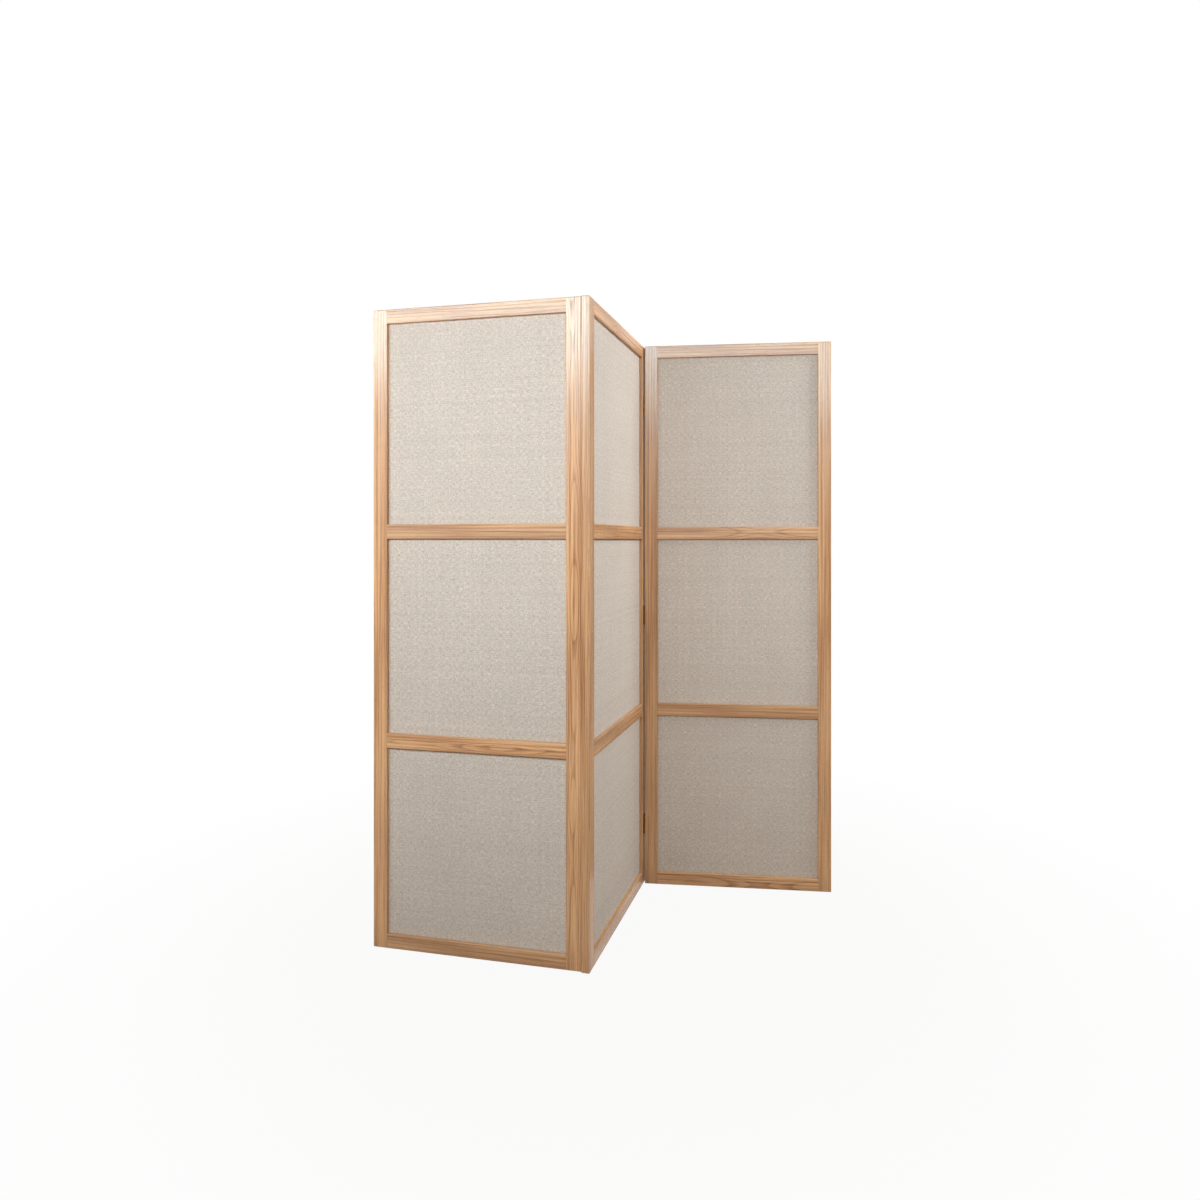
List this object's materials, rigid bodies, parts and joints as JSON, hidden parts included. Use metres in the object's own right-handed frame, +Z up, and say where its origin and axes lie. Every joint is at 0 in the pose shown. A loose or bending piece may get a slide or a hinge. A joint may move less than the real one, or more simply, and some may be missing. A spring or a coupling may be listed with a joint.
{
  "type": "folding screen",
  "caption": "Free-standing folding screen: oak frames with stretched linen windows, hinged panel to panel, standing in a zigzag and folding flat.",
  "frame": {"origin": "under the centre of the middle panel, at the floor", "axes": "+Z up, +X to the right and +Y away from the viewer of the front"},
  "size_m": [1.3836, 0.5968, 1.8],
  "materials": {
    "oak": "oiled, fine straight grain",
    "board": "plain thin board, hidden behind the linen",
    "linen": "plain natural linen weave",
    "hinge": "dark antique brown"
  },
  "bodies": {
    "left_panel": {"left_outer_stile": "oak", "left_hinge_stile": "oak", "left_top_rail": "oak", "left_upper_rail": "oak", "left_lower_rail": "oak", "left_bottom_rail": "oak", "left_top_board": "board", "left_top_linen": "linen", "left_middle_board": "board", "left_middle_linen": "linen", "left_bottom_board": "board", "left_bottom_linen": "linen", "left_fold_left_leaves": "hinge"},
    "middle_panel": {"middle_near_stile": "oak", "middle_far_stile": "oak", "middle_top_rail": "oak", "middle_upper_rail": "oak", "middle_lower_rail": "oak", "middle_bottom_rail": "oak", "middle_top_board": "board", "middle_top_linen": "linen", "middle_middle_board": "board", "middle_middle_linen": "linen", "middle_bottom_board": "board", "middle_bottom_linen": "linen", "left_fold_middle_leaves": "hinge", "right_fold_middle_leaves": "hinge", "left_fold_pins": "hinge", "right_fold_pins": "hinge"},
    "right_panel": {"right_hinge_stile": "oak", "right_outer_stile": "oak", "right_top_rail": "oak", "right_upper_rail": "oak", "right_lower_rail": "oak", "right_bottom_rail": "oak", "right_top_board": "board", "right_top_linen": "linen", "right_middle_board": "board", "right_middle_linen": "linen", "right_bottom_board": "board", "right_bottom_linen": "linen", "right_fold_right_leaves": "hinge"}
  },
  "joints": [
    {"name": "left_fold", "type": "hinge", "parent": "middle_panel", "child": "left_panel", "pos_m": [-0.08265, -0.26312, 0.9], "axis": [0, 0, 1], "range_deg": [-91.6, 0.6]},
    {"name": "right_fold", "type": "hinge", "parent": "middle_panel", "child": "right_panel", "pos_m": [0.08532, 0.26655, 0.9], "axis": [0, 0, 1], "range_deg": [-98, 1.4]}
  ]
}
